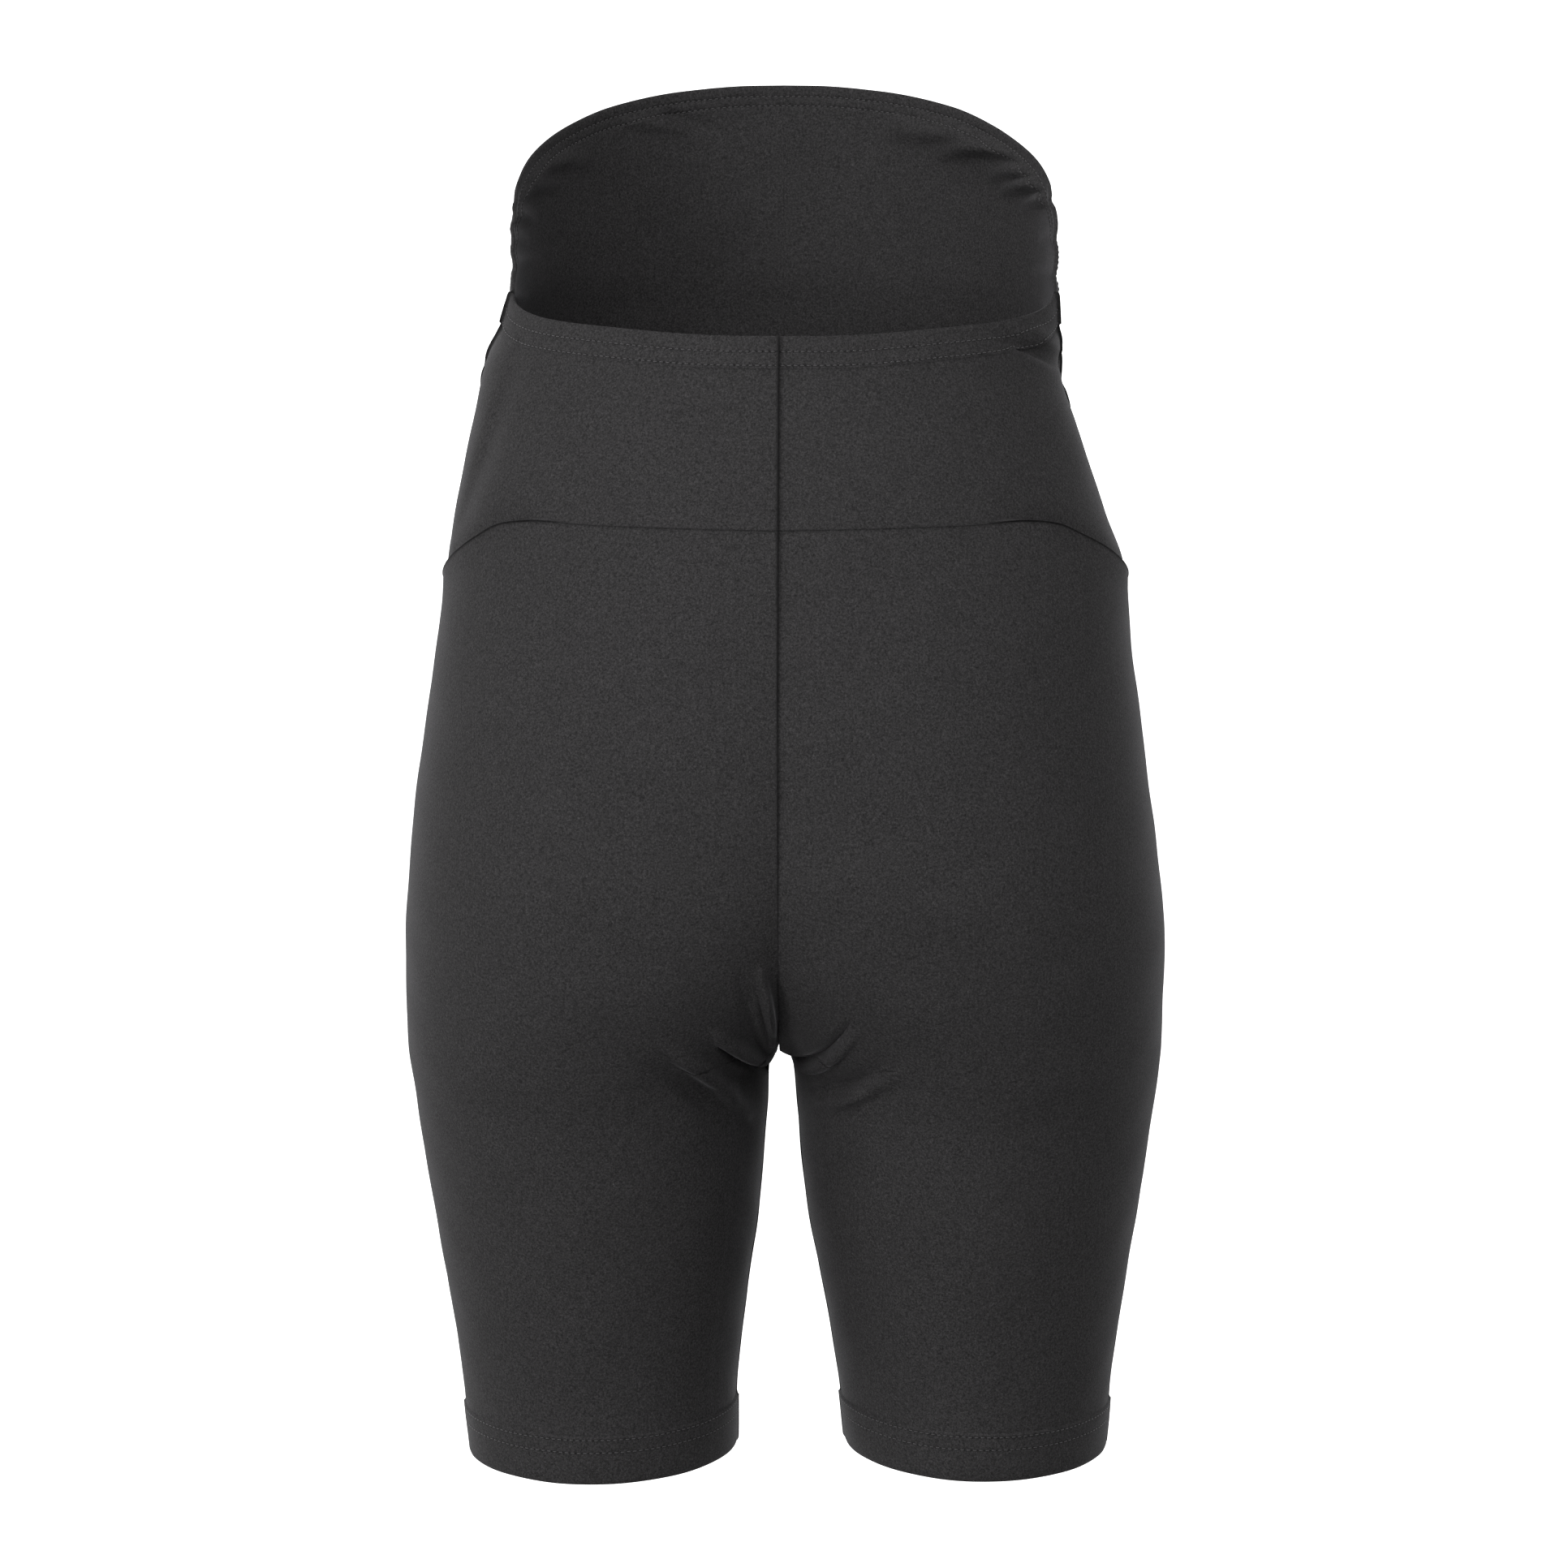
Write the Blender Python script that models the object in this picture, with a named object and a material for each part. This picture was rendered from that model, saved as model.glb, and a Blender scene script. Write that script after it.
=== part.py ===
"""Close-fitting maternity cycling shorts, hollow and filled out as if worn, as seven sewn pieces of jersey.

Metres, +Z up, the wearer's front at -Y and the wearer's left at +X. The origin is the centre of the waist,
level with the low back edge. Every piece is a wall of cloth on one shared surface, which is worked out from
the tables below: a row for each level section, for each point of a seam and for each fold.
"""
import math

import bmesh
import bpy
import numpy as np

MM = 0.001

# Cloth
WALL = 1.4 * MM             # jersey wall
HEM_WALL = 2.3 * MM         # where a hem is turned, two layers
WAIST_HEM = 14 * MM         # depth of the turned top hem
LEG_HEM = 20 * MM           # depth of the turned leg hem
HEM_STEP = 1.5 * MM         # over which the second layer ends
SEAM_GAP = 0.3 * MM         # between neighbouring pieces
CURVED_SEAM_GAP = 0.48 * MM     # along the curved waist seam, whose two sides have their own columns
GATHERED_SEAM_GAP = 0.45 * MM   # along the gathered side seam, where the wall turns with each ridge

# Levels
CROTCH = -328 * MM
LEG_END = {"left": -524.5 * MM, "right": -522.5 * MM}
LEG_END_RISE = 2.5 * MM     # the leg hem is a little higher at its inner and outer sides
LEG_END_TILT = 3 * MM       # and higher at the inner side than at the outer

# Grid of each piece: rows run down, columns run round
BELLY_ROWS_PER_YOKE_ROW = 4
YOKE_ROWS = 14
UPPER_LEG_ROWS = 14
LOWER_LEG_ROWS = 12
BACK_COLUMNS = 14
FRONT_COLUMNS = 13
TOP_CROWDING = 1.3          # how much rows of the waist pieces crowd towards the top
CROWDING = 1.7              # how much rows of the legs crowd towards the crotch
SIDE_CROWDING = 1.4         # how much front columns crowd towards the side
CENTRE_CROWDING = 1.25      # how much back columns crowd towards the centre

SIDES = {"left": 1.0, "right": -1.0}


def table(names, rows):
    """Named columns, with the rows put in rising order of the first."""
    return {name: np.array(column, float) for name, column in zip(names.split(), zip(*sorted(rows)))}


# Level sections in mm: half-width to each side, and where the back, the front and the widest place lie
SECTIONS = table("z left right back front widest square", (
    (116, 121, 119, 70, -125, -2, 2.0),
    (85, 123, 121, 70, -126, -2, 2.0),
    (60, 123, 125, 70, -126, -2, 2.0),
    (20, 120.5, 124, 76, -126, -2, 2.0),
    (0, 125, 124.5, 79, -127, -2, 2.0),
    (-20, 133.5, 125.5, 84, -127, -2, 2.1),
    (-45, 138.5, 133, 92, -125, 0, 2.2),
    (-85, 147, 146, 105, -118, 2, 2.3),
    (-112, 151, 155.5, 112, -112, 3, 2.3),
    (-150, 156, 159, 120, -105, 3, 2.3),
    (-195, 163, 165, 125, -98, 3, 2.3),
    (-240, 168, 171, 126, -93, 3, 2.3),
    (-285, 171, 175, 119, -89, 3, 2.2),
    (-328, 170, 174, 104, -86, 4, 2.1),
    (-355, 167, 171, 95, -84, 4, 2.0),
    (-400, 160, 165, 86, -79, 3, 2.0),
    (-450, 152, 157, 76, -72, 2, 2.0),
    (-490, 146, 152, 69, -66, 2, 2.0),
    (-525, 143, 149, 66, -63, 1, 2.0),
))

# How far the inner side of each half lies, as a share of its half-width: -1 where both make one oval,
# 0 at the crotch, above 0 down the separate legs
REACH = table("z left right", (
    (-85, -1.0, -1.0),
    (-120, -0.84, -0.84),
    (-150, -0.70, -0.70),
    (-195, -0.55, -0.55),
    (-240, -0.42, -0.42),
    (-285, -0.24, -0.24),
    (-312, -0.09, -0.09),
    (-328, 0.0, 0.0),
    (-338, 0.038, 0.038),
    (-360, 0.046, 0.053),
    (-400, 0.065, 0.078),
    (-450, 0.114, 0.139),
    (-490, 0.146, 0.189),
    (-525, 0.155, 0.214),
))

# Edges and seams in mm, by place round the body: 1 at centre back, 0 at the side, -1 at centre front
TOP_EDGE = table("around z", (
    (1.0, -5), (0.9, -4.9), (0.6, -1.5), (0.4, 1.5), (0.2, 7), (0.1, 13), (0.03, 26), (-0.03, 41),
    (-0.1, 55), (-0.2, 71), (-0.3, 81), (-0.4, 89), (-0.55, 98.5), (-0.75, 106), (-0.92, 108.8), (-1.0, 109),
))
WAIST_SEAM = table("around z", (
    (1.0, -88.5), (0.7, -87.3), (0.54, -86.4), (0.42, -88.5), (0.32, -95), (0.22, -102), (0.12, -109),
    (0.0, -117), (-0.2, -131), (-0.45, -148), (-0.7, -161), (-1.0, -168),
))
SIDE_SEAM = table("share around", (     # place round the body of the side seam, by its share of the way down
    (0.0, 0.10), (0.25, 0.0), (0.5, -0.07), (1.0, -0.12),
))

# Gathers of the belly panel in mm, each a ridge along a bow from the side seam to its front end. The bow has
# a start, a control point and an end, each given as its distance round from the side to the front and its
# level, and then a half-width and a height
GATHERS = {
    "left": table("x0 z0 x1 z1 x2 z2 width height", (
        (44, 70, 72, 81, 88, 75, 4.0, 2.0),
        (20, 58, 44, 69, 64, 66, 3.8, 2.0),
        (4, 49, 22, 52, 42, 48, 3.5, 1.6),
        (-6, 35, 14, 40, 36, 36, 3.2, 1.3),
        (-16, 23, 10, 28, 50, 27, 3.2, 1.4),
        (-22, 9, 8, 12, 34, 10, 3.4, 1.2),
        (-14, -5, 16, -4, 54, -6, 3.8, 1.6),
        (-4, -20, 24, -20, 42, -22, 3.6, 1.6),
        (2, -35, 30, -36, 66, -41, 4.2, 2.2),
        (7, -51, 34, -54, 50, -58, 3.8, 1.9),
        (11, -67, 40, -71, 70, -79, 4.4, 2.3),
        (14, -84, 42, -89, 58, -95, 4.2, 1.9),
        (17, -101, 46, -108, 70, -118, 4.6, 1.9),
        (122, 92, 130, 88, 143, 83, 3.5, -0.7),
    )),
    "right": table("x0 z0 x1 z1 x2 z2 width height", (
        (52, 69, 82, 83, 115, 72, 4.4, 3.2),
        (31, 61, 45, 70, 79, 62, 3.8, 2.8),
        (17, 57, 52, 62, 63, 56, 3.6, 2.4),
        (8, 48, 27, 56, 52, 49, 3.5, 1.8),
        (-6, 35, 15, 40, 38, 36, 3.4, 1.2),
        (-16, 18, 12, 23, 46, 21, 3.6, 1.3),
        (-20, 3, 8, 6, 30, 5, 3.4, 1.1),
        (-10, -12, 14, -11, 54, -14, 4.0, 1.7),
        (0, -28, 24, -28, 46, -31, 3.8, 1.8),
        (5, -44, 32, -46, 68, -52, 4.4, 2.4),
        (9, -60, 36, -63, 54, -68, 4.0, 2.0),
        (12, -76, 44, -81, 74, -90, 4.4, 2.3),
        (16, -93, 44, -99, 62, -106, 4.4, 1.9),
        (91, 84, 120, 80, 135, 85, 6.5, 1.0),
    )),
}
QUARTER = 192 * MM          # length round the belly from the side to the centre front
SEAM_SHARE = 0.2            # share of a gather's height left at the side seam itself
SEAM_FADE = 12 * MM         # over which it grows to its whole height

# Folds of the back in mm, each along such a bow, given by x and z as seen from behind, with its half-width
# and its height (below 0 for a trough)
FOLDS = table("x0 z0 x1 z1 x2 z2 width height", (
    (10, -283, 7, -305, 5, -330, 3.0, -3.0),
    (20, -286, 17, -302, 12, -318, 4.5, 2.2),
    (30, -313, 18, -321, 6, -330, 3.2, -3.2),
    (32, -318, 20, -328, 6, -344, 4.0, 2.6),
    (52, -318, 35, -332, 17, -357, 3.6, -2.6),
    (56, -326, 40, -342, 22, -366, 6.0, 1.4),
    (-3, -316, -3, -325, -4, -332, 2.6, -1.6),
    (-5, -333, -17, -326, -31, -309, 3.6, 2.2),
    (-8, -340, -22, -332, -36, -316, 3.2, -1.8),
    (-20, -346, -35, -337, -46, -325, 4.5, 1.6),
    (-26, -352, -40, -342, -52, -327, 4.2, -1.8),
    (116, -18, 131, -58, 147, -104, 9.0, 1.6),
    (-96, -9, -112, -14, -127, -22, 4.0, 2.4),
    (-104, -3, -114, -6, -124, -12, 4.5, -2.6),
))
FOLD_STEPS = 8              # straight steps that a bow is measured along
LIP_HEIGHT = 1.4 * MM       # the yoke stands proud of the leg along its seam, near the sides
LIP_DEPTH = 9 * MM
LIP_ENDS = (0.62, -0.02)    # places round the body where the lip ends
LIP_FADE = 0.15             # over which it fades there

JERSEY_COLOUR = (0.036, 0.035, 0.036, 1.0)
JERSEY_ROUGHNESS = 0.9


def curve(rows, name, at):
    """Smooth curve through one column of a table, without overshoot."""
    places, values = [rows[key] for key in (next(iter(rows)), name)]
    step = np.diff(places)
    slope = np.diff(values) / step
    product = slope[:-1] * slope[1:]
    total = np.where(product > 0, slope[:-1] + slope[1:], 1.0)
    inner = np.where(product > 0, 2 * product / total, 0.0)
    tangent = np.concatenate((slope[:1], inner, slope[-1:]))
    at = np.clip(at, places[0], places[-1])
    row = np.clip(np.searchsorted(places, at) - 1, 0, len(step) - 1)
    t = (at - places[row]) / step[row]
    start = values[row] * (1 + 2 * t) * (1 - t) ** 2 + tangent[row] * step[row] * t * (1 - t) ** 2
    end = values[row + 1] * t ** 2 * (3 - 2 * t) - tangent[row + 1] * step[row] * t ** 2 * (1 - t)
    return start + end


def signed_power(value, power):
    return np.sign(value) * np.abs(value) ** power


def half_section(side, z):
    """Middle, half-width and roundness of one half at level z, in metres."""
    level = z / MM
    outer = curve(SECTIONS, side, level) * MM
    inner = curve(REACH, side, level) * outer
    return (outer + inner) / 2, (outer - inner) / 2, curve(SECTIONS, "square", level)


def centre_angle(side, z):
    """Angle from the side to where the half ends: on the middle plane, or at the inside of the leg."""
    middle, half, square = half_section(side, z)
    share = np.clip(middle / half, 0.0, 1.0)
    return np.arccos(-share ** (square / 2))


def bare_point(side, angle, z):
    """The surface before folds. The angle is 0 at the side, positive behind and negative in front."""
    middle, half, square = half_section(side, z)
    level = z / MM
    widest = curve(SECTIONS, "widest", level) * MM
    back = curve(SECTIONS, "back", level) * MM - widest
    front = widest - curve(SECTIONS, "front", level) * MM
    across = signed_power(np.cos(angle), 2 / square)
    along = signed_power(np.sin(angle), 2 / square)
    x = SEAM_GAP / 2 + middle + half * across
    y = widest + np.where(angle > 0, back, front) * along
    return np.stack((SIDES[side] * x, y, z), axis=-1)


def normal_at(side, angle, z, surface):
    """Outward unit normal of a surface function, from small steps round and down."""
    turn = 0.004
    drop = 0.4 * MM
    round_step = surface(side, angle + turn, z) - surface(side, angle - turn, z)
    down_step = surface(side, angle, z - drop) - surface(side, angle, z + drop)
    normal = np.cross(round_step, down_step) * SIDES[side]
    return normal / np.linalg.norm(normal, axis=-1, keepdims=True)


def bow_relief(bows, x, z, strength):
    """Height of a table of ridges and troughs, each as strong along its bow as the strength function says."""
    height = np.zeros_like(z)
    t = np.linspace(0.0, 1.0, FOLD_STEPS + 1)
    for x0, z0, x1, z1, x2, z2, width, fold_height in zip(*bows.values()):
        bow_x = ((1 - t) ** 2 * x0 + 2 * t * (1 - t) * x1 + t ** 2 * x2) * MM
        bow_z = ((1 - t) ** 2 * z0 + 2 * t * (1 - t) * z1 + t ** 2 * z2) * MM
        nearest = np.full_like(z, np.inf)
        place = np.zeros_like(z)
        for number in range(FOLD_STEPS):
            step_x, step_z = np.diff(bow_x)[number], np.diff(bow_z)[number]
            share = (x - bow_x[number]) * step_x + (z - bow_z[number]) * step_z
            share = np.clip(share / (step_x ** 2 + step_z ** 2), 0.0, 1.0)
            away_x = x - bow_x[number] - share * step_x
            away_z = z - bow_z[number] - share * step_z
            distance = away_x ** 2 + away_z ** 2
            place = np.where(distance < nearest, (number + share) / FOLD_STEPS, place)
            nearest = np.minimum(nearest, distance)
        height += fold_height * MM * strength(place) * np.exp(-nearest / (width * MM) ** 2)
    return height


def strong_at_start(place):
    return np.cos(place * np.pi / 2) ** 0.7


def strong_at_middle(place):
    return 0.35 + 0.65 * np.sin(np.pi * place)


def seam_place(z):
    """Place round the body of the side seam at level z."""
    top = curve(TOP_EDGE, "z", SIDE_SEAM["around"][0]) * MM
    bottom = curve(WAIST_SEAM, "z", SIDE_SEAM["around"][-1]) * MM
    return curve(SIDE_SEAM, "around", (top - z) / (top - bottom))


def gathers(side, angle, z):
    """Ridges of the ruched belly panel, which grow from the side seam and die away in front."""
    around = angle / centre_angle(side, z)
    from_seam = np.maximum(seam_place(z) - around, 0.0) * QUARTER
    grown = SEAM_SHARE + (1 - SEAM_SHARE) * (1 - np.exp(-from_seam / SEAM_FADE))
    return grown * bow_relief(GATHERS[side], -around * QUARTER, z, strong_at_start)


def back_folds(side, angle, z):
    """Troughs and ridges of the back, placed as they are seen from behind."""
    same_side = FOLDS["x1"] * SIDES[side] > 0
    bows = {name: column[same_side] for name, column in FOLDS.items()}
    height = bow_relief(bows, bare_point(side, angle, z)[..., 0], z, strong_at_middle)
    return np.where(angle > 0, height, 0.0)


def yoke_lip(side, angle, z):
    """The yoke's lower edge, which stands proud towards the sides."""
    around = angle / centre_angle(side, z)
    above = z - curve(WAIST_SEAM, "z", around) * MM
    behind, ahead = [np.clip(np.abs(around - end) / LIP_FADE, 0.0, 1.0) for end in LIP_ENDS]
    between = (around < LIP_ENDS[0]) & (around > LIP_ENDS[1])
    return LIP_HEIGHT * behind * ahead * between * np.exp(-(above / LIP_DEPTH) ** 2)


def folded_surface(*reliefs):
    """Surface function with the given reliefs raised along the bare surface's normal."""
    def surface(side, angle, z):
        height = sum((relief(side, angle, z) for relief in reliefs), np.zeros_like(z))
        point = bare_point(side, angle, z) + normal_at(side, angle, z, bare_point) * height[..., None]
        return kept_to_side(side, point)
    return surface


def kept_to_side(side, point):
    """The same point, no nearer the middle plane than half a seam gap."""
    point[..., 0] = SIDES[side] * np.maximum(SIDES[side] * point[..., 0], SEAM_GAP / 2)
    return point


BELLY_SURFACE = folded_surface(gathers)
YOKE_SURFACE = folded_surface(back_folds, yoke_lip)
LEG_BACK_SURFACE = folded_surface(back_folds)
LEG_FRONT_SURFACE = folded_surface()


def crowded(count, power):
    """Shares from 0 to 1, which crowd towards 1."""
    return [1 - (1 - number / count) ** power for number in range(count + 1)]


def spread_out(count, power):
    """Shares from 0 to 1, which crowd towards 0."""
    return [(number / count) ** power for number in range(count + 1)]


def upper_rows(count):
    """Rows of a waist piece: depth of the hem rows, share of the height below them, thickness."""
    rows = [(0.0, 0.0, HEM_WALL), (WAIST_HEM, 0.0, HEM_WALL)]
    return rows + [(WAIST_HEM + HEM_STEP, share, WALL) for share in spread_out(count, TOP_CROWDING)]


def waist_grid(side, columns, end, rows):
    """Angles, levels and thicknesses of one side's waist piece, from the side seam round to its end."""
    angles, levels, walls = [], [], []
    for depth, share, thickness in rows:
        seam = curve(SIDE_SEAM, "around", share)
        around = seam + (end - seam) * np.array(columns)
        top = curve(TOP_EDGE, "z", around) * MM - depth
        bottom = curve(WAIST_SEAM, "z", around) * MM + CURVED_SEAM_GAP / 2
        z = top + (bottom - top) * share
        seam_turn = math.copysign(GATHERED_SEAM_GAP / 2, end) / half_depth(z)
        angles.append(around * centre_angle(side, z) + seam_turn * (np.array(columns) == 0))
        levels.append(z)
        walls.append(np.full_like(z, thickness))
    return np.array(angles), np.array(levels), np.array(walls)


def half_depth(z):
    """Rough half-depth of a section, for turning a gap into an angle."""
    return (curve(SECTIONS, "back", z / MM) - curve(SECTIONS, "front", z / MM)) * MM / 2


def leg_grid(side, columns, end):
    """Angles, levels and thicknesses of one leg piece, from the side seam round to the centre and inseam."""
    around = end * np.array(columns)
    seam = curve(WAIST_SEAM, "z", around) * MM - CURVED_SEAM_GAP / 2
    hem = LEG_END[side] + LEG_END_RISE * np.cos(np.pi * around) ** 2 + LEG_END_TILT * np.abs(around)
    hem_top = hem + LEG_HEM + HEM_STEP
    levels = [seam + (CROTCH - seam) * share for share in crowded(UPPER_LEG_ROWS, CROWDING)]
    levels += [CROTCH + (hem_top - CROTCH) * share for share in spread_out(LOWER_LEG_ROWS, CROWDING)[1:]]
    walls = [np.full_like(seam, WALL)] * len(levels)
    levels += [hem + LEG_HEM, hem]
    walls += [np.full_like(seam, HEM_WALL)] * 2
    levels = np.array(levels)
    seam_turn = SEAM_GAP / 2 / half_depth(levels)
    angles = np.abs(around) * centre_angle(side, levels)
    angles = np.clip(angles, seam_turn, math.pi - seam_turn)
    return angles * end, levels, np.array(walls)


def wall_points(surface, side, angles, levels, walls):
    """Outer and inner points of a wall, as two grids."""
    outer = surface(side, angles, levels)
    inner = outer - normal_at(side, angles, levels, surface) * walls[..., None]
    return outer, kept_to_side(side, inner)


def add_wall(name, outer, inner):
    """Closed wall between two grids of points, with a rim round its edge."""
    rows, columns = outer.shape[:2]
    layer = rows * columns
    faces = []
    for row in range(rows - 1):
        for column in range(columns - 1):
            a = row * columns + column
            quad = (a, a + 1, a + columns + 1, a + columns)
            faces.append(quad)
            faces.append(tuple(layer + corner for corner in reversed(quad)))
    rim = [column for column in range(columns)]
    rim += [row * columns + columns - 1 for row in range(1, rows)]
    rim += [(rows - 1) * columns + column for column in range(columns - 2, -1, -1)]
    rim += [row * columns for row in range(rows - 2, 0, -1)]
    for here, there in zip(rim, rim[1:] + rim[:1]):
        faces.append((there, here, layer + here, layer + there))
    points = np.concatenate((outer.reshape(-1, 3), inner.reshape(-1, 3)))
    mesh = bpy.data.meshes.new(name)
    mesh.from_pydata(points.tolist(), [], faces)
    cage = bmesh.new()
    cage.from_mesh(mesh)
    bmesh.ops.recalc_face_normals(cage, faces=cage.faces)
    cage.to_mesh(mesh)
    cage.free()
    mesh.shade_smooth()
    mesh.set_sharp_from_angle(angle=math.radians(50))
    piece = bpy.data.objects.new(name, mesh)
    piece.data.materials.append(jersey(name))
    COLLECTION.objects.link(piece)


def jersey(name):
    material = bpy.data.materials.new(f"{name}_jersey")
    material.use_nodes = True
    shader = material.node_tree.nodes["Principled BSDF"]
    shader.inputs["Base Color"].default_value = JERSEY_COLOUR
    shader.inputs["Roughness"].default_value = JERSEY_ROUGHNESS
    shader.inputs["Metallic"].default_value = 0.0
    return material


def make_belly_panel():
    """One panel round the front, from side seam to side seam."""
    columns = spread_out(FRONT_COLUMNS, SIDE_CROWDING)
    rows = upper_rows(YOKE_ROWS * BELLY_ROWS_PER_YOKE_ROW)
    halves = {}
    for side in SIDES:
        angles, levels, walls = waist_grid(side, columns, -1, rows)
        halves[side] = wall_points(BELLY_SURFACE, side, angles, levels, walls)
    layers = []
    for left, right in zip(halves["left"], halves["right"]):
        middle = (left[:, -1:] + right[:, -1:]) / 2
        layers.append(np.concatenate((left[:, :-1], middle, right[:, -2::-1]), axis=1))
    add_wall("belly_panel", *layers)


def make_yoke(side):
    """Half of the low back yoke, from its side seam to the centre-back seam."""
    columns = crowded(BACK_COLUMNS, CENTRE_CROWDING)
    angles, levels, walls = waist_grid(side, columns, 1, upper_rows(YOKE_ROWS))
    add_wall(f"yoke_back_{side}", *wall_points(YOKE_SURFACE, side, angles, levels, walls))


def make_leg(side, part, columns, end, surface):
    """Back or front half of one leg."""
    angles, levels, walls = leg_grid(side, columns, end)
    add_wall(f"leg_{part}_{side}", *wall_points(surface, side, angles, levels, walls))


for old in list(bpy.data.objects):
    bpy.data.objects.remove(old, do_unlink=True)
COLLECTION = bpy.data.collections.new("maternity_cycling_shorts")
bpy.context.scene.collection.children.link(COLLECTION)

make_belly_panel()
for side_name in SIDES:
    make_yoke(side_name)
    make_leg(side_name, "back", crowded(BACK_COLUMNS, CENTRE_CROWDING), 1, LEG_BACK_SURFACE)
    make_leg(side_name, "front", spread_out(FRONT_COLUMNS, SIDE_CROWDING), -1, LEG_FRONT_SURFACE)
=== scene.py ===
"""Looks of the maternity cycling shorts: sewn jersey shells, creases, stitches, lights and camera.

Metres, +Z up, the wearer's front at -Y and the wearer's left at +X. Each shell lies on the same surface as
its solid, worked out from the same sections and seams, with finer creases, seam grooves and turned hems.
"""
import math

import bpy
import numpy as np
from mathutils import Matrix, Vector


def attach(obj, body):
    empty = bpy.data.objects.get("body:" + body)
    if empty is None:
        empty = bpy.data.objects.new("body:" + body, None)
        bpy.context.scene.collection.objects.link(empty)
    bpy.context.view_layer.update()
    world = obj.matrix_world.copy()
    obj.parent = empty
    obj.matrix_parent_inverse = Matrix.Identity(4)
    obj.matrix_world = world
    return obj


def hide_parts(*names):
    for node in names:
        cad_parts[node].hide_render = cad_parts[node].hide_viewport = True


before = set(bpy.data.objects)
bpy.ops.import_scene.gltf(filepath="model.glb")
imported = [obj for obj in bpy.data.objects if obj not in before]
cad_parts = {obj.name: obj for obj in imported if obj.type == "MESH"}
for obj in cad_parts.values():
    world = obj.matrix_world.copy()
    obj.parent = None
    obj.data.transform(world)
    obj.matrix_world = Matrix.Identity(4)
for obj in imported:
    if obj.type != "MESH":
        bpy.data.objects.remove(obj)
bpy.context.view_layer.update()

MM = 0.001

# Cloth
SHELL = 1.0 * MM            # one layer of jersey
HEM_SHELL = 1.9 * MM        # a turned hem
WAIST_HEM = 14 * MM
BAND_NARROWS = 0.26         # share of the top hem's depth that its curl takes up in front
BAND_FADE = 0.3             # how far round from the side the curl grows
LEG_HEM = 22 * MM
HEM_STEP = 0.8 * MM
SEAM_CUT = 1.3 * MM         # the sharp line along a seam
SEAM_CUT_WIDTH = 0.28 * MM
SEAM_FURROW = 0.35 * MM     # and the soft furrow either side of it
SEAM_FURROW_WIDTH = 1.2 * MM
SEAM_SHADE_DEPTH = 0.8 * MM       # a seam this deep or deeper gets its full painted shade
FLAT_SEAM_SHARE = 0.3       # a flatter seam's depth, as a share: the waist seam, leg sides and inseams
EDGE_ROLL = 0.5 * MM        # a folded edge rounds off by this much
EDGE_ROLL_WIDTH = 0.9 * MM
SLACK = 0.16 * MM           # height of the faint uneven slack

# Twin-needle stitches: how far each line lies from its edge
WAIST_LINES = (7 * MM, 13 * MM)
LEG_LINES = (15 * MM, 21 * MM)
STITCH_PITCH = 2.85 * MM
STITCH_LENGTH = 1.9 * MM
THREAD_RADIUS = 0.24 * MM
STITCH_DENT = 0.35 * MM
STITCH_DENT_WIDTH = 0.7 * MM
NEEDLE_HOLE = 0.7 * MM
STITCH_SIDES = 6
STITCH_RINGS = (            # along one stitch: place, radius and rise, as shares of its length and radius
    (-0.5, 0.45, -1.5), (-0.42, 0.8, -0.5), (-0.25, 1.0, 0.0),
    (0.25, 1.0, 0.0), (0.42, 0.8, -0.5), (0.5, 0.45, -1.5),
)
LINE_POINTS = 260           # points along a line of stitches
LOOK_AHEAD = 0.2 * MM       # over which a stitch takes its line's direction

# Bars of thread across the centre-back seam
BAR_END = -235 * MM         # the level of the lowest
BAR_PITCH = 2.8 * MM
BAR_LENGTH_SHARE = 0.6      # beside a hem's stitch
BAR_SINK = 1.6              # how deep they lie, in furrow depths
BAR_POINTS = 200            # points along their line

# Levels
CROTCH = -328 * MM
LEG_END = {"left": -524.5 * MM, "right": -522.5 * MM}
LEG_END_RISE = 2.5 * MM
LEG_END_TILT = 3 * MM

# Grid spacing, in mm
COLUMN_STEP = 2.2
CREASE_STEP = 1.05          # across the creases by the crotch
FRONT_CREASE_STEP = 1.8     # and across the softer ones in front
WAIST_HEIGHT = 150
WAIST_ROW_STEP = 1.3
LEG_ROW_STEP = 2.2
EDGE_MARKS = (0.0, 0.15, 0.35, 0.7, 1.2, 2.0, 3.2, 4.6)     # distances from a seam, where it is finer
HEM_MARKS = (0.0, 0.35, 0.8, 1.6)                           # and from a hem's edge
STITCH_MARKS = (-1.6, -0.8, -0.4, 0.0, 0.4, 0.8, 1.6)       # and from a line of stitches
LARGEST_HEM_STEP = 2.2      # a wider step between a hem's rows is halved
SMALLEST_HEM_STEP = 0.1     # and a narrower one is left out

# A leg's upper part, from the waist seam to the crotch, and its lower part, from there to the hem, in mm
UPPER_HEIGHT = 240
FINE_START = 176            # where the upper part's finer rows start
LOWER_HEIGHT = 175
FINE_END = 42               # where the lower part's finer rows end

ROUNDING = 1e-9             # a length too small to matter
SHORTEST_STEP = 1e-7        # a line that moves on by less has ended
INSIDE_SHIFT = 0.5          # how far the knit's pattern inside lies from the outside's
SHARP_ANGLE = math.radians(60)

SIDES = {"left": 1.0, "right": -1.0}


def table(names, rows):
    """Named columns, with the rows put in rising order of the first."""
    return {name: np.array(column, float) for name, column in zip(names.split(), zip(*sorted(rows)))}


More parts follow.
